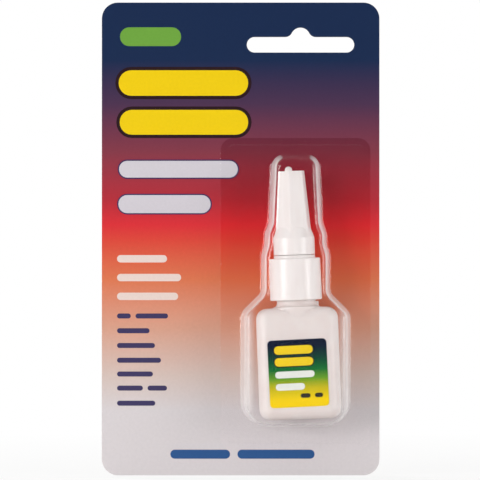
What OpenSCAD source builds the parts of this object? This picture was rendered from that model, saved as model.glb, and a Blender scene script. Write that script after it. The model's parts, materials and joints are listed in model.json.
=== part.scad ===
// Carded blister pack with a small bottle of super glue.
// Lengths are in millimetres. The origin is the centre of the hang slot on the card's front face.
// +X points right and +Z up as the pack hangs, and the front of the pack faces -Y.

/* [Card] */
// Width of the printed panel to the left of the blister
panel_w = 35.4; // [25:0.1:60]
// Card to the right of the blister
card_side = 2.7; // [1:0.1:10]
// Card below the blister
card_foot = 7.5; // [2:0.1:20]
// Distance from the hang slot's centre up to the card's top edge
slot_to_top = 12.6; // [9:0.1:18]
// Thickness of the board
card_t = 0.6; // [0.4:0.05:1]
// Radius of the card's corners
card_r = 4.8; // [1:0.1:8]

/* [Hang slot] */
// Length of the slot from end to end
slot_w = 32; // [26:0.5:36]
// Height of the slot's straight part
slot_h = 4.6; // [4:0.1:6]
// Radius of the crown over the middle of the slot
crown_r = 2.9; // [2.2:0.1:3.6]
// Height of the crown above the slot's straight part
crown_rise = 2.8; // [2:0.1:3.5]
// Radius that blends the crown into the straight part
crown_foot_r = 2.2; // [1:0.1:3]

/* [Blister] */
// Thickness of the clear sheet
sheet_t = 0.35; // [0.25:0.05:0.5]
// Distance from the hang slot's centre down to the flange's top edge
slot_to_flange = 27.8; // [15:0.1:40]
// How far the bubble's centre line lies to the left of the slot's centre
bubble_shift = 1.5; // [0:0.1:5]
// Flange beside the widest part of the bubble
flange_side = 6.2; // [4:0.1:9]
// Flange above the bubble
flange_top = 4.9; // [3.5:0.1:8]
// Flange below the bubble
flange_foot = 7.2; // [4:0.1:10]
// Radius of the flange's corners
flange_r = 3.8; // [1:0.1:6]
// Distance of the formed rim from the flange's edge
rim_inset = 1.5; // [0.8:0.1:2]
// Width of the formed rim
rim_w = 0.6; // [0.4:0.1:1]
// Height of the formed rim above the flange
rim_h = 0.15; // [0.1:0.05:0.3]
// Draft of the bubble's walls in degrees
bubble_draft = 4; // [2:0.5:6]
// Outer radius where the walls turn into the flat front
bubble_edge_r = 2.2; // [1:0.1:2.6]
// Outer radius where the walls turn into the flange
bubble_root_r = 0.8; // [0.4:0.1:1.2]
// Radius of the corners at the bubble's foot
bubble_foot_r = 7.5; // [5:0.1:9]
// Radius of the corners at the bubble's head
bubble_head_r = 4; // [3:0.1:5.5]
// Radius of the bends between the bubble's steps
bubble_bend_r = 3.2; // [2.5:0.1:4]
// Gap on each side of the bottle's body
body_gap = 1.7; // [1:0.1:4]
// Gap on each side of the collar
collar_gap = 1.1; // [0.7:0.05:3]
// Gap on each side of the cap's skirt
skirt_gap = 1.5; // [0.9:0.05:3]
// Gap on each side of the cap's grip
grip_gap = 0.65; // [0.5:0.05:2]
// Gap above the cap
head_gap = 2.75; // [2.6:0.05:6]
// Height of each step in the bubble's outline
step_h = 3.3; // [2.5:0.1:4]
// Height of the upper step's foot above the cap's skirt
step_lead = 1.2; // [0.5:0.1:2]
// How far the flare to the body starts above the collar's lower edge
flare_head = 2.2; // [1.5:0.1:6]
// How far the flare to the body ends below the bottle's shoulder
flare_foot = 1.5; // [1:0.1:6]
// Gap between the bottle and the card
back_gap = 0.25; // [0.2:0.05:1]
// Gap between the bottle and the bubble's front
front_gap = 0.35; // [0.3:0.05:1]
// Gap between the bottle's lowest point and the bubble's floor
floor_gap = 0.6; // [0.2:0.05:1]

/* [Bottle] */
// Width of the body
body_w = 24.2; // [20:0.1:30]
// Depth of the body
body_d = 14; // [13:0.1:20]
// Height of the body up to its shoulder
body_h = 32.9; // [28:0.1:45]
// Radius of the body's upright edges
body_side_r = 3.6; // [2:0.1:5]
// Radius of the body's lower edges
body_foot_r = 3.2; // [1.5:0.1:4]
// Radius of the body's shoulder
body_shoulder_r = 3.2; // [1.5:0.1:4]
// How far the shoulder rises to the neck's foot
shoulder_rise = 0.3; // [0.2:0.1:1.2]
// Thickness of the body's walls
wall_t = 1; // [0.7:0.05:1.3]
// Depth of the recess under the base
base_recess = 0.4; // [0.2:0.05:0.5]
// Width of the foot ring round the recess
base_ring = 4.3; // [3.6:0.1:5]
// Radius of the recess's corners
base_r = 2; // [1:0.1:2.5]
// Outer radius of the plain neck
neck_r = 5.75; // [5:0.05:6.2]
// Thickness of the neck's wall
neck_wall = 1.35; // [0.9:0.05:1.6]
// Radius of the fillet at the neck's foot
neck_fillet_r = 1.2; // [0.4:0.1:1.2]
// Length of neck that shows under the collar
neck_show = 2.3; // [1.6:0.1:4]
// Depth of the neck's thread, drawn as a plain band over its crests
thread_depth = 0.55; // [0.3:0.05:0.8]
// Plain neck below the thread inside the collar
thread_lead = 2; // [1:0.1:4]
// Plain neck above the thread
thread_end = 1; // [0.5:0.1:2]
// Gap between the stop lug and the collar
lug_gap = 0.5; // [0.2:0.1:1]
// Width of the stop lug round the neck
lug_w = 1.6; // [1:0.1:2.5]
// How far the stop lug stands out
lug_d = 0.9; // [0.5:0.1:1.2]
// How far the bottle leans to the left in degrees
bottle_lean = 2.2; // [0:0.1:4]
// How far the base stands to the right, as a share of what the cap leans to the left
lean_share = 0.5; // [0.3:0.05:0.6]

/* [Nozzle] */
// Thickness of the collar's wall at its lower edge
collar_wall = 1.3; // [0.9:0.05:2]
// How much narrower the collar is at its top, on each side
collar_taper = 0.15; // [0:0.05:0.4]
// Height of the collar
collar_h = 12.4; // [10:0.1:16]
// Thickness of the collar's top plate
plate_t = 1.2; // [0.8:0.1:2]
// Width of the chamfer on the collar's edges
collar_bevel = 0.25; // [0.1:0.05:0.4]
// Height of the step that the cap sits on
ring_h = 0.9; // [0.5:0.1:2]
// Radius of the boss that the cap screws on to
boss_r = 4.9; // [4.3:0.05:5.4]
// Height of the boss
boss_h = 4.4; // [3:0.1:6]
// Width of the land round the spout's foot
boss_land = 1.4; // [1.2:0.05:1.8]
// Radius of the spout at its tip
spout_tip_r = 1.3; // [1:0.05:1.6]
// Length of the spout above the boss
spout_h = 15; // [12:0.1:20]
// Thickness of the spout's wall at its foot
spout_wall = 1; // [0.8:0.05:1.3]
// Length of the straight outlet beyond the sealing pin's point
outlet_lead = 1; // [0.5:0.1:3]
// Length of the plug that seals the neck's bore
plug_l = 4; // [2:0.1:6]
// Thickness of the plug's wall
plug_wall = 0.9; // [0.6:0.05:1.2]
// Gap between the plug and the neck's bore
plug_gap = 0.05; // [0.03:0.01:0.1]
// Gap between the thread's crests and the collar
thread_gap = 0.1; // [0.05:0.01:0.15]
// Gap between the neck's rim and the top plate
rim_gap = 0.1; // [0.05:0.01:0.2]

/* [Cap] */
// Thickness of the skirt's wall
skirt_wall = 1.1; // [0.9:0.05:1.5]
// Height of the skirt above the boss
skirt_over = 0.75; // [0.6:0.05:2]
// Height of the shoulder between the skirt and the grip
shoulder_h = 3; // [2:0.1:4]
// How far the grip's corners stand in from the skirt
grip_step = 0.5; // [0.3:0.05:0.8]
// Radius over the grip's corners at its top
grip_top_r = 4; // [3.6:0.05:4.8]
// Number of flats on the grip
grip_flats = 6; // [4:1:8]
// Turn of the flats round the cap in degrees
grip_turn = -11; // [-30:1:30]
// Distance from the axis to a flat, as a share of the corner radius
grip_flat_share = 0.89; // [0.88:0.01:0.96]
// Thickness of the roof over the sealing pin
roof_t = 2.6; // [1:0.05:4]
// Radius of the knob on the cap's top
knob_r = 1.1; // [0.6:0.05:2]
// Height of the knob's straight part
knob_h = 0.3; // [0.05:0.05:1]
// How far the knob sits off the cap's axis
knob_shift = 0.8; // [0:0.1:1.5]
// Gap between the cap's lower edge and the nozzle
seat_gap = 0.15; // [0.1:0.05:0.3]
// Gap between the cap's skirt and the boss
boss_gap = 0.1; // [0.05:0.01:0.15]
// Gap between the spout and the inside of the cap
spout_gap = 0.5; // [0.3:0.05:0.6]

/* [Sealing pin] */
// Radius of the pin
pin_r = 0.4; // [0.3:0.05:0.6]
// Length of the pin inside the outlet
pin_in = 5; // [3:0.1:7]
// Length of the pin inside the cap
pin_seat = 2.4; // [1.5:0.1:4]
// Gap round the pin in the outlet and in the cap
pin_gap = 0.05; // [0.03:0.01:0.1]

/* [Label] */
// Bottle to each side of the label
label_side = 3.4; // [3.2:0.1:6]
// Height of the label
label_h = 19.9; // [14:0.1:22]
// Thickness of the label
label_t = 0.1; // [0.05:0.01:0.2]
// Radius of the label's corners
label_r = 1.2; // [0.5:0.1:3]
// Height of the label's lower edge above the bottle's base
label_lift = 3.8; // [3:0.1:5]
// How far the label's middle lies to the left of the bottle's axis
label_shift = 0.3; // [0:0.1:1]
// Turn of the label against the bottle in degrees
label_turn = 0.6; // [0:0.1:2]

/* [Glue] */
// Height of the glue above the bottle's base, at its middle
glue_level = 18.1; // [6:0.1:25]
// Gap between the glue and the bottle's inside
glue_gap = 0.02; // [0.01:0.01:0.05]

/* [Hidden] */
$fn = 64;
hull_fn = 32;
arc_step = 12;
round_steps = 6;
root_steps = 3;
edge_steps = 5;
overrun = 1;

// Radii that fit one piece in another
neck_foot_r = neck_r + neck_fillet_r;
neck_bore_r = neck_r - neck_wall;
thread_r = neck_r + thread_depth;
collar_bore_r = thread_r + thread_gap;
collar_r = collar_bore_r + collar_wall;
plug_r = neck_bore_r - plug_gap;
spout_foot_r = boss_r - boss_land;
channel_r = spout_foot_r - spout_wall;
cap_bore_r = boss_r + boss_gap;
skirt_r = cap_bore_r + skirt_wall;
grip_foot_r = skirt_r - grip_step;
grip_foot_flat = grip_foot_r * grip_flat_share;
grip_top_flat = grip_top_r * grip_flat_share;
pin_bore_r = pin_r + pin_gap;

// Radius of the shoulder's crest under the neck, inside the round of the body's front and back
crest_r = body_d / 2 - min(body_shoulder_r, body_side_r);

// Heights above the bottle's base, along its axis
shoulder_low = body_h - min(body_shoulder_r, body_side_r);
neck_foot_z = body_h + shoulder_rise;
collar_z = body_h + neck_show;
collar_top = collar_z + collar_h;
plate_z = collar_top - plate_t;
neck_top = plate_z - rim_gap;
ring_top = collar_top + ring_h;
boss_top = ring_top + boss_h;
tip_z = boss_top + spout_h;
cap_z = ring_top + seat_gap;
skirt_z = boss_top + skirt_over;
shoulder_z = skirt_z + shoulder_h;
cap_roof_z = tip_z + spout_gap;
pin_top = cap_roof_z + pin_seat;
grip_top_z = pin_top + roof_t;
grip_h = grip_top_z - skirt_z;
knob_z = grip_top_z + knob_h + knob_r;

// The bottle's place in the pack
half_depth = max(collar_r, body_d / 2 + label_t);
axis_y = -(half_depth + back_gap);
lean_reach = knob_z * sin(bottle_lean);
base_shift = lean_reach * lean_share;
function sway(z) = abs(base_shift - z * sin(bottle_lean));

// The bubble's half widths and levels where it leaves the flange, the levels from the bottle's base.
// wall_take is what the sheet and the wall's draft take away at the depth of the bottle's axis.
bubble_depth = 2 * half_depth + back_gap + front_gap + sheet_t;
wall_take = sheet_t + (half_depth + back_gap) * tan(bubble_draft);
body_hw = body_w / 2 + max(sway(0), sway(body_h)) + body_gap + wall_take;
collar_hw = collar_r + max(sway(collar_z), sway(collar_top)) + collar_gap + wall_take;
skirt_hw = skirt_r + max(sway(cap_z), sway(skirt_z)) + skirt_gap + wall_take;
grip_foot_hw = grip_foot_r + sway(shoulder_z) + grip_gap + wall_take;
grip_top_hw = grip_top_r + sway(grip_top_z) + grip_gap + wall_take;
body_dip = body_w / 2 * sin(bottle_lean);
floor_rise = (half_depth + back_gap + body_d / 2) * tan(bubble_draft);
bubble_low = -(body_dip + floor_gap + sheet_t + floor_rise);
bubble_high = knob_z + head_gap + wall_take;
upper_step_z = skirt_z + step_lead;

// Places in the pack, from the hang slot
bubble_x = -bubble_shift;
base_x = bubble_x + base_shift;
base_z = -(slot_to_flange + flange_top + bubble_high);
flange_left = bubble_x - body_hw - flange_side;
flange_right = bubble_x + body_hw + flange_side;
flange_low = base_z + bubble_low - flange_foot;
flange_high = -slot_to_flange;
card_left = flange_left - panel_w;
card_right = flange_right + card_side;
card_low = flange_low - card_foot;

// The bubble's outline where it leaves the flange: corners up the right side, each with its radius
bubble_corners = [
    [body_hw, bubble_low],
    [body_hw, body_h - flare_foot],
    [collar_hw, collar_z + flare_head],
    [collar_hw, ring_top],
    [skirt_hw, ring_top + step_h],
    [skirt_hw, upper_step_z],
    [grip_foot_hw, upper_step_z + step_h],
    [grip_top_hw, bubble_high]
];
bubble_radii = [
    bubble_foot_r,
    bubble_bend_r,
    bubble_bend_r,
    bubble_bend_r,
    bubble_bend_r,
    bubble_bend_r,
    bubble_bend_r,
    bubble_head_r
];

function reversed(list) = [for (i = [len(list) - 1:-1:0]) list[i]];
function mirrored(points) = [for (p = reversed(points)) [-p[0], p[1]]];
function unit(v) = v / norm(v);
function left_of(v) = [-v[1], v[0]];
function cross_z(a, b) = a[0] * b[1] - a[1] * b[0];
function arc(centre, r, from, to, steps) = [
    for (i = [0:steps])
        let (a = from + (to - from) * i / steps)
        centre + r * [cos(a), sin(a)]
];

// Corner p of an outline that runs anticlockwise, moved inwards by inset and rounded.
// The number of points depends on the turn alone, so outlines with other insets match point by point.
function rounded_corner(before, p, after, r, inset) =
    let (
        run_in = unit(p - before),
        run_out = unit(after - p),
        normal_in = left_of(run_in),
        normal_out = left_of(run_out),
        turn = atan2(cross_z(run_in, run_out), run_in * run_out),
        side = sign(turn),
        inner_r = max(r - side * inset, sheet_t),
        moved = p + (normal_in + normal_out) * inset / (1 + normal_in * normal_out),
        back = inner_r * tan(abs(turn) / 2),
        centre = moved - back * run_in + side * inner_r * normal_in,
        start = atan2(-side * normal_in[1], -side * normal_in[0])
    )
    arc(centre, inner_r, start, start + turn, ceil(abs(turn) / arc_step));

function rounded_outline(corners, radii, inset) = [
    for (i = [0:len(corners) - 1])
        let (
            last = len(corners) - 1,
            before = corners[i == 0 ? last : i - 1],
            after = corners[i == last ? 0 : i + 1]
        )
        each rounded_corner(before, corners[i], after, radii[i], inset)
];

// The bubble's wall in section, as [inset, depth] pairs from the flange to the flat front.
// skin is the distance into the sheet from its outer face.
wall_root = [-bubble_root_r, sheet_t + bubble_root_r];
wall_run = bubble_depth - bubble_edge_r - wall_root[1];
wall_edge = [
    (bubble_root_r + bubble_edge_r) / cos(bubble_draft) + wall_run * tan(bubble_draft) - bubble_root_r,
    bubble_depth - bubble_edge_r
];
function wall_section(skin) = concat(
    arc(wall_root, bubble_root_r + skin, -90, -bubble_draft, root_steps),
    arc(wall_edge, bubble_edge_r - skin, 180 - bubble_draft, 90, edge_steps)
);

// A closed loft through the bubble's outline at each step of a section
module bubble_loft(section) {
    corners = concat(bubble_corners, mirrored(bubble_corners));
    radii = concat(bubble_radii, reversed(bubble_radii));
    rings = [for (s = section) rounded_outline(corners, radii, s[0])];
    count = len(rings[0]);
    top = len(section) - 1;
    half = count / 2;
    points = [
        for (j = [0:top], p = rings[j])
            [bubble_x + p[0], -section[j][1], base_z + p[1]]
    ];
    sides = [
        for (j = [0:top - 1], i = [0:count - 1])
            let (k = (i + 1) % count, a = j * count, b = a + count)
            each [[a + i, b + i, b + k], [a + i, b + k, a + k]]
    ];
    // Each end is closed by strips between the outline's right and left halves
    front = [
        for (i = [0:half - 2])
            let (a = top * count + i, b = top * count + count - 1 - i)
            each [[a, b, a + 1], [a + 1, b, b - 1]]
    ];
    back = [
        for (i = [0:half - 2])
            let (b = count - 1 - i)
            each [[i, i + 1, b], [i + 1, b - 1, b]]
    ];
    polyhedron(points, concat(sides, front, back));
}

module rounded_rect(left, right, low, high, r) {
    translate([left + r, low]) square([right - left - 2 * r, high - low]);
    translate([left, low + r]) square([right - left, high - low - 2 * r]);
    for (x = [left + r, right - r], z = [low + r, high - r])
        translate([x, z]) circle(r);
}

// Stands a flat outline up, from depth y towards the front
module upright(y, t) translate([0, y, 0]) rotate([90, 0, 0]) linear_extrude(t) children();

// Puts a piece of the bottle in its place in the pack
module in_pack() translate([base_x, axis_y, base_z]) rotate([0, -bottle_lean, 0]) children();

// The euro slot: a straight slot with round ends, and a crown that blends into it
module hang_slot() {
    end_r = slot_h / 2;
    crown_z = end_r + crown_rise - crown_r;
    foot_z = end_r + crown_foot_r;
    reach = crown_r + crown_foot_r;
    foot_x = sqrt(pow(reach, 2) - pow(foot_z - crown_z, 2));
    blend_z = crown_z + crown_r * (foot_z - crown_z) / reach;
    square([slot_w - slot_h, slot_h], center = true);
    for (side = [-1, 1])
        translate([side * (slot_w / 2 - end_r), 0]) circle(end_r);
    translate([0, crown_z]) circle(crown_r);
    difference() {
        translate([-foot_x, 0]) square([2 * foot_x, blend_z]);
        for (side = [-1, 1])
            translate([side * foot_x, foot_z]) circle(crown_foot_r);
    }
}

module backing_card() color("#c9403f")
    upright(card_t, card_t) difference() {
        rounded_rect(card_left, card_right, card_low, slot_to_top, card_r);
        hang_slot();
    }

module blister_shell() color("#dfe6ec", 0.4)
    difference() {
        union() {
            upright(0, sheet_t) flange_outline(0);
            flange_rim();
            bubble_loft(wall_section(0));
        }
        bubble_loft(concat([[-bubble_root_r, -overrun]], wall_section(sheet_t)));
    }

// The flange's outline, moved inwards by inset
module flange_outline(inset)
    rounded_rect(flange_left + inset, flange_right - inset, flange_low + inset,
        flange_high - inset, max(flange_r - inset, sheet_t));

// The shallow rim formed all round the flange
module flange_rim()
    upright(0, sheet_t + rim_h) difference() {
        flange_outline(rim_inset);
        flange_outline(rim_inset + rim_w);
    }

// The body as a block with round upright edges and rounded ends, drawn inset from its outside.
// Its shoulder rises to a crest under the neck.
module body_block(inset) {
    side_r = body_side_r - inset;
    low_r = min(body_foot_r, body_side_r) - inset;
    high_r = min(body_shoulder_r, body_side_r) - inset;
    high = body_h - inset;
    puck = concat(
        [[0, inset]],
        arc([side_r - low_r, inset + low_r], low_r, -90, 0, round_steps),
        arc([side_r - high_r, high - high_r], high_r, 0, 90, round_steps),
        [[0, high]]
    );
    hull() {
        for (x = [-1, 1], y = [-1, 1])
            translate([x * (body_w / 2 - body_side_r), y * (body_d / 2 - body_side_r), 0])
                rotate_extrude($fn = hull_fn) polygon(puck);
        translate([0, 0, shoulder_low]) cylinder(r = crest_r, h = neck_foot_z - inset - shoulder_low, $fn = hull_fn);
    }
}

module bottle() color("#e8e2e0")
    in_pack() difference() {
        union() {
            body_block(0);
            neck();
            neck_lug();
        }
        body_block(wall_t);
        translate([0, 0, body_h - wall_t - overrun]) cylinder(r = neck_bore_r, h = neck_top);
        base_hollow();
    }

// The neck as one turned profile: foot in the shoulder's round, fillet, plain part and thread band
module neck()
    rotate_extrude() polygon(concat(
        [[0, shoulder_low], [neck_foot_r, shoulder_low]],
        arc([neck_foot_r, neck_foot_z + neck_fillet_r], neck_fillet_r, 270, 180, round_steps),
        [
            [neck_r, collar_z + thread_lead],
            [thread_r, collar_z + thread_lead],
            [thread_r, neck_top - thread_end],
            [neck_r, neck_top - thread_end],
            [neck_r, neck_top],
            [0, neck_top]
        ]
    ));

// A ramped lug that stops the collar from being turned off again
module neck_lug()
    translate([0, 0, body_h - wall_t]) linear_extrude(wall_t + neck_show - lug_gap) polygon([
        [neck_bore_r, -lug_w / 2],
        [neck_r + lug_d, lug_w / 2],
        [neck_bore_r, lug_w / 2]
    ]);

// The recess that leaves a ring to stand on
module base_hollow()
    translate([0, 0, -overrun]) linear_extrude(overrun + base_recess)
        rounded_rect(base_ring - body_w / 2, body_w / 2 - base_ring, base_ring - body_d / 2,
            body_d / 2 - base_ring, base_r);

// The glue lies level while the bottle leans
module glue() color("#f2efe4")
    in_pack() intersection() {
        body_block(wall_t + glue_gap);
        translate([0, 0, glue_level]) rotate([0, bottle_lean, 0])
            translate([-body_w, -body_d, -body_h]) cube([2 * body_w, 2 * body_d, body_h]);
    }

module front_label() color("#2f6b4a")
    in_pack() translate([-label_shift, 0, label_lift + label_h / 2]) rotate([0, -label_turn, 0])
        upright(-body_d / 2, label_t)
            rounded_rect(label_side - body_w / 2, body_w / 2 - label_side, -label_h / 2,
                label_h / 2, label_r);

// Collar, top plate, boss, spout and plug, turned as one profile
module nozzle() color("#f4f2f1")
    in_pack() rotate_extrude() polygon([
        [collar_bore_r, collar_z],
        [collar_r - collar_bevel, collar_z],
        [collar_r, collar_z + collar_bevel],
        [collar_r - collar_taper, collar_top - collar_bevel],
        [collar_r - collar_taper - collar_bevel, collar_top],
        [skirt_r, collar_top],
        [skirt_r, ring_top],
        [boss_r, ring_top],
        [boss_r, boss_top],
        [spout_foot_r, boss_top],
        [spout_tip_r, tip_z],
        [pin_bore_r, tip_z],
        [pin_bore_r, tip_z - pin_in - outlet_lead],
        [channel_r, boss_top],
        [channel_r, plate_z],
        [plug_r - plug_wall, plate_z],
        [plug_r - plug_wall, plate_z - plug_l],
        [plug_r, plate_z - plug_l],
        [plug_r, plate_z],
        [collar_bore_r, plate_z]
    ]);

module cap() color("#f8f7f5")
    in_pack() difference() {
        union() {
            rotate_extrude() polygon([
                [0, cap_z],
                [skirt_r, cap_z],
                [skirt_r, skirt_z],
                [grip_foot_flat, shoulder_z],
                [0, shoulder_z]
            ]);
            cap_grip();
            cap_knob();
        }
        cap_bore();
    }

// A round taper with flats cut along it
module cap_grip()
    difference() {
        translate([0, 0, skirt_z]) cylinder(r1 = grip_foot_r, r2 = grip_top_r, h = grip_h);
        for (i = [0:grip_flats - 1])
            rotate([0, 0, grip_turn + i * 360 / grip_flats])
                translate([grip_foot_flat, -skirt_r, skirt_z])
                    rotate([0, -atan2(grip_foot_flat - grip_top_flat, grip_h), 0])
                        translate([0, 0, -overrun]) cube([skirt_r, 2 * skirt_r, grip_h + 2 * overrun]);
    }

// The knob is round on top, and its foot reaches down into the roof
module cap_knob()
    translate([-knob_shift, 0, 0]) rotate_extrude() polygon(concat(
        [[0, pin_top], [knob_r, pin_top]],
        arc([0, knob_z - knob_r], knob_r, 0, 90, round_steps)
    ));

// The skirt's bore, the cone that clears the spout and the pin's socket, turned as one profile
module cap_bore()
    rotate_extrude() polygon([
        [0, cap_z - overrun],
        [cap_bore_r, cap_z - overrun],
        [cap_bore_r, boss_top + spout_gap],
        [spout_foot_r + spout_gap, boss_top + spout_gap],
        [spout_tip_r + spout_gap, cap_roof_z],
        [pin_bore_r, cap_roof_z],
        [pin_bore_r, pin_top],
        [0, pin_top]
    ]);

// A plain steel pin with a pointed end
module sealing_pin() color("silver")
    in_pack() rotate_extrude() polygon([
        [0, tip_z - pin_in],
        [pin_r, tip_z - pin_in + pin_r],
        [pin_r, pin_top - pin_gap],
        [0, pin_top - pin_gap]
    ]);

backing_card();
blister_shell();
bottle();
glue();
front_label();
nozzle();
cap();
sealing_pin();
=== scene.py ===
import json
import math

import bmesh
import bpy
from mathutils import Matrix, Vector


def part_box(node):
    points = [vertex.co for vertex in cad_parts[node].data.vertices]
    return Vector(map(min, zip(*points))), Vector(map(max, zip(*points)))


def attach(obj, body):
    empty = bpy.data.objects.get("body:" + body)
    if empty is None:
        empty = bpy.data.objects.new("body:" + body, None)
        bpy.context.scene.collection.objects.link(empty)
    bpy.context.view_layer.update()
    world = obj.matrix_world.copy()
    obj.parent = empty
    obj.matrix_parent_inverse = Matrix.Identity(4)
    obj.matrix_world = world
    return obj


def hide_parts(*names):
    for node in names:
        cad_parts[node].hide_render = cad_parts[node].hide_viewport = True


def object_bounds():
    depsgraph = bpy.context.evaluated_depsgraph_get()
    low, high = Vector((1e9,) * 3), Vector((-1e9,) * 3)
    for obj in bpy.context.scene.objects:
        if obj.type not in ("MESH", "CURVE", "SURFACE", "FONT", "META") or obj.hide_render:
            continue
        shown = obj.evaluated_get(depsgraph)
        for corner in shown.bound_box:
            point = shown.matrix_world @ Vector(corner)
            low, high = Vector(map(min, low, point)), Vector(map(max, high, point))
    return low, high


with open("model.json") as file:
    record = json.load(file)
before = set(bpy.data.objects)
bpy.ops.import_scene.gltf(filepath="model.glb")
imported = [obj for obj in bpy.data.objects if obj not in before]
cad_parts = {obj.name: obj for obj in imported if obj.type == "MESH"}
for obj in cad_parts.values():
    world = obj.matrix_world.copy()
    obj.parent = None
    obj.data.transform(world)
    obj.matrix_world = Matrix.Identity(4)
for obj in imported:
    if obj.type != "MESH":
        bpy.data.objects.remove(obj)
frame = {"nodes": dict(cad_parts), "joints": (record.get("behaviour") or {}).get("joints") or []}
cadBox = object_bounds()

# Pieces are modelled in millimetres and brought to metres when they are placed
mm = 0.001
scene = bpy.context.scene
inCard = Matrix.Scale(mm, 4)
joints = {joint["name"]: joint for joint in frame["joints"]}
bottleUp = Vector(joints["cap_turn"]["axis"])
bottleLean = math.atan2(bottleUp.x, bottleUp.z)
bottleFoot = Vector(joints["bottle_rock"]["pos_m"])
inBottle = Matrix.Translation(bottleFoot) @ Matrix.Rotation(bottleLean, 4, "Y") @ inCard


# sRGB hex to the linear values that Blender's sockets take
def linear(hexColour):
    parts = [int(hexColour[i:i + 2], 16) / 255 for i in (1, 3, 5)]
    return [p / 12.92 if p <= 0.04045 else ((p + 0.055) / 1.055) ** 2.4 for p in parts] + [1]


# Texture scale for a pattern of this size in millimetres
def grain(size):
    return 1 / (size * mm)


def newMaterial(name):
    material = bpy.data.materials.new(name)
    material.use_nodes = True
    material.node_tree.nodes.clear()
    return material, material.node_tree


def addNode(tree, kind, values={}, links={}, **settings):
    node = tree.nodes.new("ShaderNode" + kind)
    for name, value in settings.items():
        setattr(node, name, value)
    for socket, value in values.items():
        node.inputs[socket].default_value = value
    for socket, source in links.items():
        tree.links.new(source, node.inputs[socket])
    return node


def setStops(ramp, stops):
    elements = ramp.color_ramp.elements
    while len(elements) < len(stops):
        elements.new(1)
    for element, (place, hexColour) in zip(elements, stops):
        element.position = place
        element.color = linear(hexColour)


def makePiece(name, bm, place, material, body, crease=30):
    bmesh.ops.transform(bm, matrix=place, verts=bm.verts)
    mesh = bpy.data.meshes.new(name)
    bm.to_mesh(mesh)
    bm.free()
    mesh.materials.append(material)
    mesh.shade_smooth()
    mesh.set_sharp_from_angle(angle=math.radians(crease))
    piece = bpy.data.objects.new(name, mesh)
    scene.collection.objects.link(piece)
    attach(piece, body)
    print(f"{name}: {len(mesh.polygons)} faces on {body}")
    return piece


# A moulded piece keeps the CAD shape, and its sharp edges get the small rounds that a mould gives
def softCopy(node, edgeRound, steps, sharp):
    bm = bmesh.new()
    bm.from_mesh(frame["nodes"][node].data)
    bmesh.ops.transform(bm, matrix=inCard.inverted(), verts=bm.verts)
    bmesh.ops.remove_doubles(bm, verts=bm.verts, dist=0.001)
    bmesh.ops.dissolve_limit(bm, angle_limit=math.radians(0.5), verts=bm.verts, edges=bm.edges)
    edges = [e for e in bm.edges if e.calc_face_angle(0) > math.radians(sharp)]
    bmesh.ops.bevel(bm, geom=edges, offset=edgeRound, offset_type="OFFSET", affect="EDGES",
                    segments=steps, profile=0.5, material=-1, clamp_overlap=True)
    return bm


def keepFlats(piece):
    flats = piece.modifiers.new("flats", "WEIGHTED_NORMAL")
    flats.keep_sharp = True


# Flat outline from corners given as (x, z, radius), rounded at each corner
def addOutline(bm, corners, front, stepAngle=6):
    face = bm.faces.new([bm.verts.new((x, front, z)) for x, z, radius in corners])
    verts = list(face.verts)
    turns = []
    for i, vert in enumerate(verts):
        into = vert.co - verts[i - 1].co
        out = verts[(i + 1) % len(verts)].co - vert.co
        turns.append(into.angle(out))
    for vert, turn, (x, z, radius) in zip(verts, turns, corners):
        rounded = bmesh.ops.bevel(
            bm, geom=[vert], offset=radius * math.tan(turn / 2), offset_type="OFFSET",
            affect="VERTICES", segments=max(3, round(math.degrees(turn) / stepAngle)),
            profile=0.5, material=-1)
    bm.normal_update()
    return rounded["verts"][0].link_faces[0]


def addPlate(bm, left, right, low, high, rounding, front):
    corners = [(left, low, rounding), (right, low, rounding), (right, high, rounding), (left, high, rounding)]
    return addOutline(bm, corners, front, stepAngle=15)


# 1 where the camera sees plain white, and where gloss and clear pieces see it behind the object
def seenWhite(tree, path, depth):
    mirrored = addNode(tree, "Math", operation="MAXIMUM",
                       links={0: path.outputs["Is Glossy Ray"], 1: path.outputs["Is Transmission Ray"]})
    behind = addNode(tree, "Math", {1: 0}, {0: depth}, operation="GREATER_THAN")
    backdrop = addNode(tree, "Math", links={0: mirrored.outputs[0], 1: behind.outputs[0]}, operation="MULTIPLY")
    return addNode(tree, "Math", links={0: path.outputs["Is Camera Ray"], 1: backdrop.outputs[0]},
                   operation="MAXIMUM")


print("camera, floor and light")

photo = {
    "middle": (-18.04, -58.2),   # point of the card in the middle of the picture
    "width": 143.1,              # card width across the picture
    "distance": 1200,
    "sensor": 36,
}
camera = bpy.data.objects.new("camera", bpy.data.cameras.new("camera"))
camera.location = (photo["middle"][0] * mm, -photo["distance"] * mm, photo["middle"][1] * mm)
camera.rotation_euler = (math.radians(90), 0, 0)
camera.data.sensor_width = photo["sensor"]
camera.data.lens = photo["sensor"] * photo["distance"] / photo["width"]
camera.data.clip_start = 0.05
scene.collection.objects.link(camera)
bpy.context.scene.camera = camera
scene.view_settings.view_transform = "Standard"

studio = {
    "floor": ("#efeeed", "#f4f3f2"),
    "shadowShare": 0.75,         # how far the camera sees the floor as plain white, close by
    "shadowReach": (0.05, 0.3),  # from there to plain white
    "world": "#ffffff",
    "worldLevel": 0.12,          # what glossy faces mirror
    "evenLevel": (0.2, 0.68),    # soft light from all round, level and from straight above
    "darkLevel": 0.02,           # the unlit room behind the camera
    "darkReach": (-0.97, -0.6),
    "reach": 3,                  # of the floor
}

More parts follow.
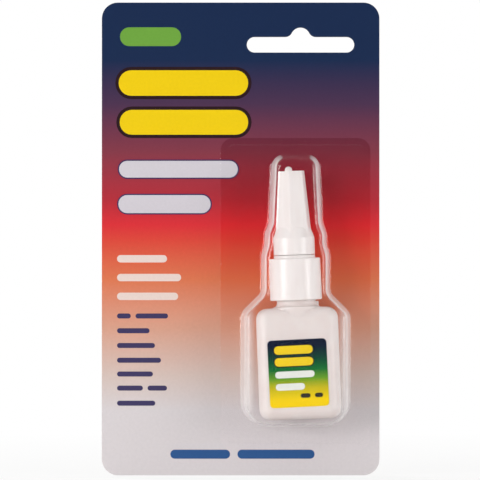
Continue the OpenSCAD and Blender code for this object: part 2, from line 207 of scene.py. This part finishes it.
# Painted studio floor: matt, with a faint mottle
floorPaint, tree = newMaterial("matt studio floor paint")
place = addNode(tree, "TexCoord")
mottle = addNode(tree, "TexNoise", {"Scale": grain(60), "Detail": 3}, {"Vector": place.outputs["Object"]})
tone = addNode(tree, "ValToRGB", links={"Fac": mottle.outputs["Fac"]})
setStops(tone, list(enumerate(studio["floor"])))
paint = addNode(tree, "BsdfDiffuse", links={"Color": tone.outputs["Color"]})
white = addNode(tree, "Emission", {"Strength": 1})
path = addNode(tree, "LightPath")
axes = addNode(tree, "SeparateXYZ", links={0: place.outputs["Object"]})
seen = seenWhite(tree, path, axes.outputs["Y"])
away = addNode(tree, "VectorMath", links={0: place.outputs["Object"]}, operation="LENGTH")
near, far = studio["shadowReach"]
plain = addNode(tree, "MapRange", {"From Min": near, "From Max": far, "To Min": studio["shadowShare"]},
                {"Value": away.outputs["Value"]})
share = addNode(tree, "Math", links={0: seen.outputs[0], 1: plain.outputs[0]}, operation="MULTIPLY")
both = addNode(tree, "MixShader", links={"Fac": share.outputs[0], 1: paint.outputs[0], 2: white.outputs[0]})
addNode(tree, "OutputMaterial", links={"Surface": both.outputs[0]})

bm = bmesh.new()
bmesh.ops.create_grid(bm, x_segments=1, y_segments=1, size=studio["reach"])
bmesh.ops.translate(bm, verts=bm.verts, vec=(0, 0, cadBox[0][2]))
mesh = bpy.data.meshes.new("floor")
bm.to_mesh(mesh)
bm.free()
mesh.materials.append(floorPaint)
floor = bpy.data.objects.new("floor", mesh)
scene.collection.objects.link(floor)

world = bpy.data.worlds.new("studio")
scene.world = world
world.use_nodes = True
tree = world.node_tree
tree.nodes.clear()
toward = addNode(tree, "SeparateXYZ", links={0: addNode(tree, "TexCoord").outputs["Generated"]})
dark, lit = studio["darkReach"]
room = addNode(tree, "MapRange", {"From Min": dark, "From Max": lit, "To Min": studio["darkLevel"],
                                  "To Max": studio["worldLevel"]}, {"Value": toward.outputs["Y"]})
path = addNode(tree, "LightPath")
around, above = studio["evenLevel"]
even = addNode(tree, "MapRange", {"To Min": around, "To Max": above}, {"Value": toward.outputs["Z"]})
soft = addNode(tree, "MapRange", links={"Value": path.outputs["Is Diffuse Ray"], "To Min": room.outputs[0],
                                        "To Max": even.outputs[0]})
seen = seenWhite(tree, path, toward.outputs["Y"])
level = addNode(tree, "MapRange", {"To Max": 1}, {"Value": seen.outputs[0], "To Min": soft.outputs[0]})
sky = addNode(tree, "Background", {"Color": linear(studio["world"])}, {"Strength": level.outputs[0]})
addNode(tree, "OutputWorld", links={"Surface": sky.outputs[0]})

lamps = {
    "key": {"at": (-0.9, -0.65, 0.08), "size": (0.5, 0.4), "watts": 6.6},
    "fill": {"at": (0.95, -0.6, 0.07), "size": (0.4, 0.4), "watts": 4.1},
    "side": {"at": (0.9, -0.1, 0.12), "size": (0.5, 0.4), "watts": 0.7},
    "back": {"at": (-0.7, 0.9, 0.5), "size": (0.8, 0.8), "watts": 7},
}
aim = Vector((photo["middle"][0] * mm, 0, photo["middle"][1] * mm))
for name, lamp in lamps.items():
    data = bpy.data.lights.new(name, "AREA")
    data.shape = "RECTANGLE"
    data.size, data.size_y = lamp["size"]
    data.energy = lamp["watts"]
    light = bpy.data.objects.new(name, data)
    light.location = lamp["at"]
    light.rotation_euler = (aim - light.location).to_track_quat("-Z", "Y").to_euler()
    scene.collection.objects.link(light)


print("backing card")

card = {
    "edgeRound": 0.06,
    "sharp": 35,                 # edges sharper than this are rounded
    "board": "#d9d3c8",          # bare pulp on the back and the cut edges
    "fade": [                    # height on the card and colour, top to bottom
        (-4.6, "#192c4f"),
        (-17.7, "#4d3350"),
        (-32, "#853948"),
        (-46.3, "#b62d39"),
        (-53.7, "#dc2f37"),
        (-58.4, "#dd4739"),
        (-70.1, "#df7852"),
        (-84.5, "#dba28b"),
        (-98.8, "#d8c4bc"),
        (-109, "#dad4d6"),
    ],
    "sealRound": 3.8,            # the sealed area's corners
    "sheetShadeDepth": 1.2,            # painted shade under the sheet: the fade's contrast and gain where the sheet is sealed on
    "sheetShadeGain": 1.1,
}
shellBox = [corner / mm for corner in map(Vector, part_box("blister_shell"))]

# Coated paperboard, offset printed and varnished: an even fade with a fine fibre mottle under a gloss. Where
# the blister's sheet covers the card, its colours are drawn deeper: painted shade for the sheet's dimming and
# the blister's shade
cardBoard, tree = newMaterial("varnished paperboard")
place = addNode(tree, "TexCoord")
axes = addNode(tree, "SeparateXYZ", links={0: place.outputs["Object"]})
facing = addNode(tree, "SeparateXYZ", links={0: place.outputs["Normal"]})
lowest, highest = card["fade"][-1][0], card["fade"][0][0]
height = addNode(tree, "MapRange", {"From Min": lowest * mm, "From Max": highest * mm},
                 {"Value": axes.outputs["Z"]})
fade = addNode(tree, "ValToRGB", links={"Fac": height.outputs[0]})
setStops(fade, [((z - lowest) / (highest - lowest), colour) for z, colour in reversed(card["fade"])])
fibre = addNode(tree, "TexNoise", {"Scale": grain(0.9), "Detail": 6}, {"Vector": place.outputs["Object"]})
fibreTone = addNode(tree, "ValToRGB", links={"Fac": fibre.outputs["Fac"]})
setStops(fibreTone, [(0.3, "#fafafa"), (0.7, "#ffffff")])
printed = addNode(tree, "Mix", {"Factor": 1}, {6: fade.outputs["Color"], 7: fibreTone.outputs["Color"]},
                  data_type="RGBA", blend_type="MULTIPLY")
pulp = addNode(tree, "Mix", {"Factor": 1, 6: linear(card["board"])}, {7: fibreTone.outputs["Color"]},
               data_type="RGBA", blend_type="MULTIPLY")
# painted shade: where the sheet lies on the card, the print is made deeper and darker
deep = addNode(tree, "Gamma", {"Gamma": card["sheetShadeDepth"]}, {"Color": printed.outputs[2]})
shadedUnderSheet = addNode(tree, "Mix", {"Factor": 1, 7: [card["sheetShadeGain"]] * 3 + [1]}, {6: deep.outputs[0]},
              data_type="RGBA", blend_type="MULTIPLY")
sealMiddle = (shellBox[0] + shellBox[1]) / 2 * mm
sealHalf = (shellBox[1] - shellBox[0]) / 2 * mm - Vector((1, 1, 1)) * card["sealRound"] * mm
fromSeal = addNode(tree, "VectorMath", {1: sealMiddle}, {0: place.outputs["Object"]}, operation="SUBTRACT")
outward = addNode(tree, "VectorMath", links={0: fromSeal.outputs[0]}, operation="ABSOLUTE")
beyond = addNode(tree, "VectorMath", {1: (sealHalf.x, 1, sealHalf.z)}, {0: outward.outputs[0]},
                 operation="SUBTRACT")
roundOff = addNode(tree, "VectorMath", {1: (0, 0, 0)}, {0: beyond.outputs[0]}, operation="MAXIMUM")
reach = addNode(tree, "VectorMath", links={0: roundOff.outputs[0]}, operation="LENGTH")
isSealed = addNode(tree, "Math", {1: card["sealRound"] * mm}, {0: reach.outputs["Value"]},
                   operation="LESS_THAN")
frontPrint = addNode(tree, "Mix", data_type="RGBA",
                     links={"Factor": isSealed.outputs[0], 6: printed.outputs[2], 7: shadedUnderSheet.outputs[2]})
isFront = addNode(tree, "Math", {1: -0.7}, {0: facing.outputs["Y"]}, operation="LESS_THAN")
colour = addNode(tree, "Mix", links={"Factor": isFront.outputs[0], 6: pulp.outputs[2],
                                     7: frontPrint.outputs[2]}, data_type="RGBA")
gloss = addNode(tree, "MapRange", {"To Min": 0.6, "To Max": 0.22}, {"Value": isFront.outputs[0]})
bump = addNode(tree, "Bump", {"Strength": 0.08, "Distance": 0.02 * mm}, {"Height": fibre.outputs["Fac"]})
board = addNode(tree, "BsdfPrincipled", {"IOR": 1.45},
                {"Base Color": colour.outputs[2], "Roughness": gloss.outputs[0], "Normal": bump.outputs[0]})
addNode(tree, "OutputMaterial", links={"Surface": board.outputs[0]})

cardShape = softCopy("backing_card", card["edgeRound"], 2, card["sharp"])
backingCard = makePiece("card", cardShape, inCard, cardBoard, "pack")
keepFlats(backingCard)
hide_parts("backing_card")


print("printed bars")

inks = {
    "film": 0.015,
    "thin": 0.008,               # under another ink
    "under": ("outline", "purple", "labelOutline"),
    "roundShare": 0.98,          # of a bar's half height
    "card": {                    # colour and the bars' left, right, low and high
        "green": ("#6fa640", [(-53.8, -35.6, -0.4, 5.2)]),
        "outline": ("#2b161b", [(-55.2, -14.6, -16.2, -6.6), (-54.9, -14.6, -27.8, -18.4)]),
        "yellow": ("#f3cf06", [(-54.2, -15.6, -15.2, -7.6), (-53.9, -15.6, -26.8, -19.4)]),
        "purple": ("#3c2c5a", [(-54.5, -18.3, -40, -34.2), (-54.7, -26.4, -50.6, -44.4)]),
        "silver": ("#d4cfd6", [(-54.1, -18.7, -39.6, -34.6), (-54.3, -26.8, -50.2, -44.8)]),
        "pale": ("#ecd8d0", [
            (-54.7, -39.8, -64.9, -62.7), (-54.7, -35.6, -70.5, -68.3), (-54.7, -36.5, -76.1, -73.9)]),
        "ink": ("#3c3560", [
            (-54.7, -50.6, -81.6, -80.1), (-49.2, -39.5, -81.6, -80.1), (-54.7, -45, -86, -84.5),
            (-54.7, -43.4, -90.4, -88.9), (-54.7, -41.6, -94.8, -93.3), (-54.7, -44, -98.9, -97.4),
            (-54.7, -47, -103.1, -101.6), (-45.6, -39.8, -103.1, -101.6), (-54.7, -43.3, -107.6, -106.1)]),
        "blue": ("#22548f", [(-38.8, -21, -123.4, -120.7), (-18.8, 4.2, -123.4, -120.7)]),
    },
    "label": {
        "labelOutline": ("#241a18", [(-7.1, 4.9, 5.4, 8.5), (-7.1, 4.9, 1.9, 5)]),
        "labelYellow": ("#f6d312", [(-6.8, 4.6, 5.7, 8.2), (-6.8, 4.6, 2.2, 4.7)]),
        "labelWhite": ("#eef0ea", [(-6.8, 4.8, -1.3, 0.7), (-6.8, 1.8, -4.9, -2.9)]),
        "labelInk": ("#2c2a18", [(0.4, 3.3, -7.3, -6), (4.6, 7, -7.3, -6)]),
    },
}


# Offset ink: a thin even film that takes the sheet's gloss, with slight mottle
def inkMaterial(name, hexColour):
    material, tree = newMaterial(name)
    place = addNode(tree, "TexCoord")
    mottle = addNode(tree, "TexNoise", {"Scale": grain(0.7), "Detail": 4}, {"Vector": place.outputs["Object"]})
    tone = addNode(tree, "ValToRGB", links={"Fac": mottle.outputs["Fac"]})
    setStops(tone, [(0.2, "#f8f8f8"), (0.8, "#ffffff")])
    colour = addNode(tree, "Mix", {"Factor": 1, 6: linear(hexColour)}, {7: tone.outputs["Color"]},
                     data_type="RGBA", blend_type="MULTIPLY")
    gloss = addNode(tree, "MapRange", {"To Min": 0.2, "To Max": 0.28}, {"Value": mottle.outputs["Fac"]})
    ink = addNode(tree, "BsdfPrincipled", {"IOR": 1.48},
                  {"Base Color": colour.outputs[2], "Roughness": gloss.outputs[0]})
    addNode(tree, "OutputMaterial", links={"Surface": ink.outputs[0]})
    return material


def printBars(sheet, face, place, body):
    for name, (hexColour, bars) in inks[sheet].items():
        film = inks["thin"] if name in inks["under"] else inks["film"]
        bm = bmesh.new()
        for left, right, low, high in bars:
            addPlate(bm, left, right, low, high, (high - low) / 2 * inks["roundShare"], face - film)
        bmesh.ops.solidify(bm, geom=bm.faces[:], thickness=film)
        makePiece("print_" + name, bm, place, inkMaterial(name + " offset ink", hexColour), body)


printBars("card", 0, inCard, "pack")


print("blister")

blister = {
    "sheet": 0.35,
    "lacquer": 0.02,             # heat seal between the sheet and the card
    "middle": -1.5,
    "flangeRound": 3.8,
    "cutEdge": (0.35, 0.15),     # width and drop of the trimmed edge
    "rim": [(1.05, 0), (0.2, 0.015), (0.2, 0.01), (0.2, -0.01), (0.2, -0.015), (0.4, 0)],   # inset and rise
    "outline": [                 # half width, height and corner radius, foot to head
        (16.1416, -113.616, 7.5), (16.1416, -79.756, 4), (10.0975, -73.756, 3.2), (10.0975, -62.656, 4),
        (9.1297, -59.356, 3.2), (9.1297, -56.306, 4), (7.8949, -53.006, 3.2), (6.9379, -32.7, 4)],
    "draft": 4,
    "rootRound": 0.8,
    "edgeRound": 2.2,
    "flat": 0.4,
    "roundSteps": 8,
    "wallSteps": 4,
    "hazeHeight": (-86, -72),    # wide haze below the first height, narrow above the second
    "hazeFrom": (0.02, 0.4),     # slant at which the haze starts there, and its most
    "hazeMost": (0.7, 0.9),
    "paintedGapLight": 0.36,               # painted light: a pale border on the low front, lifting the shade beside the bottle
    "gapLightHeight": (-72, -82),   # it comes in between these heights
    "gapLightFrom": (11.4, 15),     # and between these distances from the middle line
    "gapLightRise": 2,              # off the card
    "glossFlat": 0.008,
    "glossWall": 0.045,
    "glossSteep": 0.4,
}
blister["depth"] = -shellBox[0].y


# Inset, depth and how far the sheet is drawn, from the flange over the root, up the draft and round the edge
def wallPath():
    draft = math.radians(blister["draft"])
    root, edge = blister["rootRound"], blister["edgeRound"]
    steps = blister["roundSteps"]
    rootDepth = blister["sheet"] + root
    edgeDepth = blister["depth"] - edge
    rootTop = (root * math.cos(draft) - root, rootDepth - root * math.sin(draft))
    edgeLow = edgeDepth + edge * math.sin(draft)
    edgeInset = rootTop[0] + (edgeLow - rootTop[1]) * math.tan(draft) + edge * math.cos(draft)
    points = [(-root - blister["flat"], blister["sheet"], 0)]
    for i in range(steps + 1):
        turn = (math.pi / 2 - draft) * i / steps
        points.append((root * math.sin(turn) - root, rootDepth - root * math.cos(turn), math.sin(turn)))
    for i in range(1, blister["wallSteps"]):
        share = i / blister["wallSteps"]
        points.append((rootTop[0] + (edgeInset - edge * math.cos(draft) - rootTop[0]) * share,
                       rootTop[1] + (edgeLow - rootTop[1]) * share, 1))
    for i in range(steps + 1):
        turn = draft + (math.pi / 2 - draft) * i / steps
        points.append((edgeInset - edge * math.cos(turn), edgeDepth + edge * math.sin(turn), math.cos(turn)))
    points.append((edgeInset + blister["flat"], blister["depth"], 0))
    return points


def blisterMesh():
    bm = bmesh.new()
    drawn = bm.verts.layers.float.new("drawn")
    low, high = shellBox
    trim, drop = blister["cutEdge"]
    flange = addPlate(bm, low.x, high.x, low.z, high.z, blister["flangeRound"], drop - blister["sheet"])
    for inset, rise in [(trim, drop)] + blister["rim"]:
        bmesh.ops.inset_region(bm, faces=[flange], thickness=inset, depth=rise,
                               use_boundary=True, use_even_offset=True)
    seal = list(flange.edges)
    bmesh.ops.delete(bm, geom=[flange], context="FACES_ONLY")
    kept = set(bm.faces)
    side = blister["outline"]
    mirrored = [(-half, z, radius) for half, z, radius in reversed(side)]
    corners = [(blister["middle"] + half, z, radius) for half, z, radius in side + mirrored]
    panel = addOutline(bm, corners, -blister["sheet"])
    wall = wallPath()
    bmesh.ops.inset_region(bm, faces=[panel], thickness=wall[0][0], use_boundary=True, use_even_offset=True)
    spare = [face for face in bm.faces if face not in kept and face is not panel]
    bmesh.ops.delete(bm, geom=spare, context="FACES")
    bmesh.ops.triangle_fill(bm, use_beauty=True, edges=seal + list(panel.edges), normal=(0, -1, 0))
    for (inset, depth, _), (nextInset, nextDepth, stretch) in zip(wall, wall[1:]):
        bmesh.ops.inset_region(bm, faces=[panel], thickness=nextInset - inset, depth=nextDepth - depth,
                               use_boundary=True, use_even_offset=True)
        for vert in panel.verts:
            vert[drawn] = stretch
    bmesh.ops.recalc_face_normals(bm, faces=bm.faces)
    bmesh.ops.solidify(bm, geom=bm.faces[:], thickness=blister["sheet"] - blister["lacquer"])
    return bm


# Clear PVC sheet, vacuum formed: almost unseen face on, milky where its drawn wall is seen along its length,
# with a gloss that catches the lamps on every round edge. The milk and gloss are partly painted highlight:
# strongest on the side walls, where the lamps' reflections fall, and kept off the unlit top wall. The low
# front's pale border is painted light
clearSheet, tree = newMaterial("vacuum formed clear PVC")
place = addNode(tree, "TexCoord")
slant = addNode(tree, "LayerWeight", {"Blend": 0.5})
drawn = addNode(tree, "Attribute", attribute_name="drawn")
cloud = addNode(tree, "TexNoise", {"Scale": grain(2.5), "Detail": 3}, {"Vector": place.outputs["Object"]})
axes = addNode(tree, "SeparateXYZ", links={0: place.outputs["Object"]})
wide, narrow = blister["hazeHeight"]
upper = addNode(tree, "MapRange", {"From Min": wide * mm, "From Max": narrow * mm},
                {"Value": axes.outputs["Z"]})
wide, narrow = blister["hazeFrom"]
least = addNode(tree, "MapRange", {"To Min": wide, "To Max": narrow}, {"Value": upper.outputs[0]})
wide, narrow = blister["hazeMost"]
most = addNode(tree, "MapRange", {"To Min": wide, "To Max": narrow}, {"Value": upper.outputs[0]})
edgeOn = addNode(tree, "MapRange", {"From Max": 0.9},
                 {"Value": slant.outputs["Facing"], "From Min": least.outputs[0], "To Max": most.outputs[0]})
patchy = addNode(tree, "MapRange", {"From Min": 0.3, "From Max": 0.7, "To Min": 0.88, "To Max": 1.06},
                 {"Value": cloud.outputs["Fac"]})
# painted highlight: the wall bands are kept to the side walls that face the lamps, with half on the foot and
# almost none on the top wall, which no lamp lights
turned = addNode(tree, "SeparateXYZ", links={0: place.outputs["Normal"]})
sideways = addNode(tree, "Math", links={0: turned.outputs["X"]}, operation="ABSOLUTE")
beside = addNode(tree, "MapRange", {"From Min": 0.15, "From Max": 0.7, "To Min": 0.03, "To Max": 1},
                 {"Value": sideways.outputs[0]}, interpolation_type="SMOOTHSTEP")
below = addNode(tree, "MapRange", {"From Min": -0.1, "From Max": -0.7, "To Max": 0.5},
                {"Value": turned.outputs["Z"]})
lampLitWallShare = addNode(tree, "Math", links={0: beside.outputs[0], 1: below.outputs[0]}, operation="MAXIMUM")
thinned = addNode(tree, "Math", {1: 0.6}, {0: drawn.outputs["Fac"]}, operation="POWER")
wall = addNode(tree, "Math", links={0: edgeOn.outputs[0], 1: thinned.outputs[0]}, operation="MULTIPLY")
stretchedAndLampLit = addNode(tree, "Math", links={0: wall.outputs[0], 1: lampLitWallShare.outputs[0]}, operation="MULTIPLY")
fromMiddle = addNode(tree, "Math", {1: blister["middle"] * mm}, {0: axes.outputs["X"]}, operation="SUBTRACT")
aside = addNode(tree, "Math", links={0: fromMiddle.outputs[0]}, operation="ABSOLUTE")
# painted light: a pale veil on the low front's border lifts the shade beside the bottle
inner, outer = blister["gapLightFrom"]
border = addNode(tree, "MapRange", {"From Min": inner * mm, "From Max": outer * mm, "To Max": blister["paintedGapLight"]},
                 {"Value": aside.outputs[0]}, interpolation_type="SMOOTHSTEP")
start, full = blister["gapLightHeight"]
lower = addNode(tree, "MapRange", {"From Min": start * mm, "From Max": full * mm}, {"Value": axes.outputs["Z"]})
raised = addNode(tree, "Math", {1: -blister["gapLightRise"] * mm}, {0: axes.outputs["Y"]}, operation="LESS_THAN")
faced = addNode(tree, "Math", links={0: turned.outputs["Y"]}, operation="ABSOLUTE")
onFront = addNode(tree, "MapRange", {"From Min": 0.2, "From Max": 0.8}, {"Value": faced.outputs[0]})
lowPart = addNode(tree, "Math", links={0: lower.outputs[0], 1: raised.outputs[0]}, operation="MULTIPLY")
lowFront = addNode(tree, "Math", links={0: lowPart.outputs[0], 1: onFront.outputs[0]}, operation="MULTIPLY")
gapLightVeil = addNode(tree, "Math", links={0: border.outputs[0], 1: lowFront.outputs[0]}, operation="MULTIPLY")
milkAndLampSheen = addNode(tree, "Math", links={0: stretchedAndLampLit.outputs[0], 1: patchy.outputs[0]}, operation="MULTIPLY")
hazeAndPaintedLight = addNode(tree, "Math", links={0: milkAndLampSheen.outputs[0], 1: gapLightVeil.outputs[0]}, operation="MAXIMUM")
path = addNode(tree, "LightPath")      # haze sends light onwards and hardly shades what is behind it
onward = addNode(tree, "Math", links={0: path.outputs["Is Shadow Ray"], 1: path.outputs["Is Diffuse Ray"]},
                 operation="MAXIMUM")
veil = addNode(tree, "MapRange", {"To Max": 0}, {"Value": onward.outputs[0], "To Min": hazeAndPaintedLight.outputs[0]})
steep = addNode(tree, "Math", {1: 5}, {0: slant.outputs["Facing"]}, operation="POWER")
bright = addNode(tree, "Math", {1: blister["glossSteep"], 2: blister["glossWall"]}, {0: steep.outputs[0]},
                 operation="MULTIPLY_ADD")
# painted highlight: the gloss too is strongest on the drawn side walls that face the lamps
side = addNode(tree, "Math", links={0: lampLitWallShare.outputs[0], 1: drawn.outputs["Fac"]}, operation="MULTIPLY")
mirror = addNode(tree, "MapRange", {"To Min": blister["glossFlat"]},
                 {"Value": side.outputs[0], "To Max": bright.outputs[0]})
clear = addNode(tree, "BsdfTransparent", {"Color": linear("#ffffff")})
milky = addNode(tree, "BsdfPrincipled", {"Base Color": linear("#fbf9f9"), "Roughness": 0.4, "IOR": 1.53})
through = addNode(tree, "BsdfTranslucent", {"Color": linear("#fbf9f9")})
cloudy = addNode(tree, "MixShader", {"Fac": 0.25}, {1: milky.outputs[0], 2: through.outputs[0]})
body = addNode(tree, "MixShader", links={"Fac": veil.outputs[0], 1: clear.outputs[0], 2: cloudy.outputs[0]})
shine = addNode(tree, "BsdfGlossy", {"Color": linear("#ffffff"), "Roughness": 0.1})
sheet = addNode(tree, "MixShader", links={"Fac": mirror.outputs[0], 1: body.outputs[0], 2: shine.outputs[0]})
addNode(tree, "OutputMaterial", links={"Surface": sheet.outputs[0]})

bubble = makePiece("blister", blisterMesh(), inCard, clearSheet, "pack", crease=50)
keepFlats(bubble)
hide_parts("blister_shell")


print("bottle")

bottleSkin = {
    "edgeRound": 0.15,
    "sharp": 60,                 # edges sharper than this are rounded
    "tones": [(0.3, "#e9dcd9"), (0.7, "#ede3e0")],
    "glowDepth": 1.2,
}

# Blow-moulded LDPE: milky, soft satin skin, light goes a little way in
milkyPlastic, tree = newMaterial("blow moulded milky LDPE")
place = addNode(tree, "TexCoord")
cloud = addNode(tree, "TexNoise", {"Scale": grain(5), "Detail": 3}, {"Vector": place.outputs["Object"]})
tone = addNode(tree, "ValToRGB", links={"Fac": cloud.outputs["Fac"]})
setStops(tone, bottleSkin["tones"])
satin = addNode(tree, "TexNoise", {"Scale": grain(0.35), "Detail": 4}, {"Vector": place.outputs["Object"]})
rough = addNode(tree, "MapRange", {"To Min": 0.32, "To Max": 0.46}, {"Value": satin.outputs["Fac"]})
bump = addNode(tree, "Bump", {"Strength": 0.1, "Distance": 0.03 * mm}, {"Height": satin.outputs["Fac"]})
plastic = addNode(tree, "BsdfPrincipled", {"IOR": 1.51, "Subsurface Weight": 0.35,
                                           "Subsurface Scale": bottleSkin["glowDepth"] * mm,
                                           "Subsurface Radius": (1, 0.9, 0.85)},
                  {"Base Color": tone.outputs["Color"], "Roughness": rough.outputs[0],
                   "Normal": bump.outputs[0]})
addNode(tree, "OutputMaterial", links={"Surface": plastic.outputs[0]})

bottleShape = softCopy("bottle", bottleSkin["edgeRound"], 2, bottleSkin["sharp"])
bottle = makePiece("glue_bottle", bottleShape, inCard, milkyPlastic, "bottle", crease=40)
keepFlats(bottle)
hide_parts("bottle")


print("nozzle and cap")

whiteSkin = {
    "edgeRound": 0.12,
    "tones": [(0.3, "#f2e9e7"), (0.7, "#f6efed")],
    "glowDepth": 0.6,
    "pieces": [                  # name, node, body, and the angle over which edges are rounded
        ("spout", "nozzle", "bottle", 35),
        ("screw_cap", "cap", "cap", 20),
    ],
}

# Injection moulded polypropylene: smooth white skin with a soft sheen and faint flow marks
whitePlastic, tree = newMaterial("injection moulded white PP")
place = addNode(tree, "TexCoord")
flow = addNode(tree, "Mapping", {"Scale": (1, 1, 0.15)}, {"Vector": place.outputs["Object"]})
streak = addNode(tree, "TexNoise", {"Scale": grain(1.6), "Detail": 3}, {"Vector": flow.outputs[0]})
tone = addNode(tree, "ValToRGB", links={"Fac": streak.outputs["Fac"]})
setStops(tone, whiteSkin["tones"])
fine = addNode(tree, "TexNoise", {"Scale": grain(0.3), "Detail": 4}, {"Vector": place.outputs["Object"]})
rough = addNode(tree, "MapRange", {"To Min": 0.24, "To Max": 0.36}, {"Value": fine.outputs["Fac"]})
bump = addNode(tree, "Bump", {"Strength": 0.06, "Distance": 0.02 * mm}, {"Height": fine.outputs["Fac"]})
plastic = addNode(tree, "BsdfPrincipled", {"IOR": 1.49, "Subsurface Weight": 0.15,
                                           "Subsurface Scale": whiteSkin["glowDepth"] * mm,
                                           "Subsurface Radius": (1, 0.95, 0.9)},
                  {"Base Color": tone.outputs["Color"], "Roughness": rough.outputs[0],
                   "Normal": bump.outputs[0]})
addNode(tree, "OutputMaterial", links={"Surface": plastic.outputs[0]})

for name, node, carrier, sharp in whiteSkin["pieces"]:
    shape = softCopy(node, whiteSkin["edgeRound"], 2, sharp)
    piece = makePiece(name, shape, inCard, whitePlastic, carrier, crease=40)
    keepFlats(piece)
    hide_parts(node)


print("label")

label = {
    "width": 17.4,
    "height": 19.9,
    "round": 1.2,
    "middle": (-0.3, 13.75),     # from the bottle's axis and base
    "turn": -0.6,
    "paper": 0.1,
    "face": -7,                  # the bottle's front, from its axis
    "fade": [                    # share of the label's height and colour, foot to head
        (0.1, "#fdd80c"), (0.28, "#ccbc1c"), (0.42, "#68a02a"), (0.55, "#157132"), (0.72, "#0b4233"),
        (0.9, "#0d1932")],
}

inLabel = inBottle @ Matrix.Translation((label["middle"][0], 0, label["middle"][1])) @ Matrix.Rotation(
    math.radians(label["turn"]), 4, "Y")

# Gloss label paper, coated and printed with a fade: smooth, with a faint fibre mottle
labelPaper, tree = newMaterial("gloss label paper")
place = addNode(tree, "TexCoord")
upright = addNode(tree, "Mapping", {"Location": inLabel.translation, "Rotation": inLabel.to_euler()},
                  {"Vector": place.outputs["Object"]}, vector_type="TEXTURE")
axes = addNode(tree, "SeparateXYZ", links={0: upright.outputs[0]})
half = label["height"] / 2
share = addNode(tree, "MapRange", {"From Min": -half * mm, "From Max": half * mm}, {"Value": axes.outputs["Z"]})
fade = addNode(tree, "ValToRGB", links={"Fac": share.outputs[0]})
setStops(fade, label["fade"])
fibre = addNode(tree, "TexNoise", {"Scale": grain(0.5), "Detail": 4}, {"Vector": place.outputs["Object"]})
tone = addNode(tree, "ValToRGB", links={"Fac": fibre.outputs["Fac"]})
setStops(tone, [(0.2, "#f8f8f8"), (0.8, "#ffffff")])
colour = addNode(tree, "Mix", {"Factor": 1}, {6: fade.outputs["Color"], 7: tone.outputs["Color"]},
                 data_type="RGBA", blend_type="MULTIPLY")
rough = addNode(tree, "MapRange", {"To Min": 0.2, "To Max": 0.28}, {"Value": fibre.outputs["Fac"]})
paper = addNode(tree, "BsdfPrincipled", {"IOR": 1.47, "Specular IOR Level": 0.1},
                {"Base Color": colour.outputs[2], "Roughness": rough.outputs[0]})
addNode(tree, "OutputMaterial", links={"Surface": paper.outputs[0]})

bm = bmesh.new()
labelFront = label["face"] - label["paper"]
addPlate(bm, -label["width"] / 2, label["width"] / 2, -half, half, label["round"], labelFront)
bmesh.ops.solidify(bm, geom=bm.faces[:], thickness=label["paper"])
frontLabel = makePiece("bottle_label", bm, inLabel, labelPaper, "bottle")
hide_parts("front_label")
printBars("label", labelFront, inLabel, "bottle")


print("glue and pin")

inside = {
    "glue": "#f6f2e6",
    "steel": [(0.3, "#b9babd"), (0.7, "#d6d7d9")],
}

# Cyanoacrylate: thin and clear, with a faint warm cast
clearGlue, tree = newMaterial("clear cyanoacrylate")
place = addNode(tree, "TexCoord")
still = addNode(tree, "TexNoise", {"Scale": grain(4), "Detail": 2}, {"Vector": place.outputs["Object"]})
rough = addNode(tree, "MapRange", {"To Min": 0.02, "To Max": 0.06}, {"Value": still.outputs["Fac"]})
liquid = addNode(tree, "BsdfPrincipled",
                 {"Base Color": linear(inside["glue"]), "IOR": 1.45, "Transmission Weight": 0.9},
                 {"Roughness": rough.outputs[0]})
addNode(tree, "OutputMaterial", links={"Surface": liquid.outputs[0]})

# Drawn steel wire: bright, with fine marks along its length
drawnSteel, tree = newMaterial("drawn steel wire")
place = addNode(tree, "TexCoord")
along = addNode(tree, "Mapping", {"Scale": (1, 1, 0.03)}, {"Vector": place.outputs["Object"]})
marks = addNode(tree, "TexNoise", {"Scale": grain(0.08), "Detail": 3}, {"Vector": along.outputs[0]})
tone = addNode(tree, "ValToRGB", links={"Fac": marks.outputs["Fac"]})
setStops(tone, inside["steel"])
rough = addNode(tree, "MapRange", {"To Min": 0.18, "To Max": 0.34}, {"Value": marks.outputs["Fac"]})
steel = addNode(tree, "BsdfPrincipled", {"Metallic": 1},
                {"Base Color": tone.outputs["Color"], "Roughness": rough.outputs[0]})
addNode(tree, "OutputMaterial", links={"Surface": steel.outputs[0]})

for node, material in (("glue", clearGlue), ("sealing_pin", drawnSteel)):
    materials = frame["nodes"][node].data.materials
    materials.clear()
    materials.append(material)
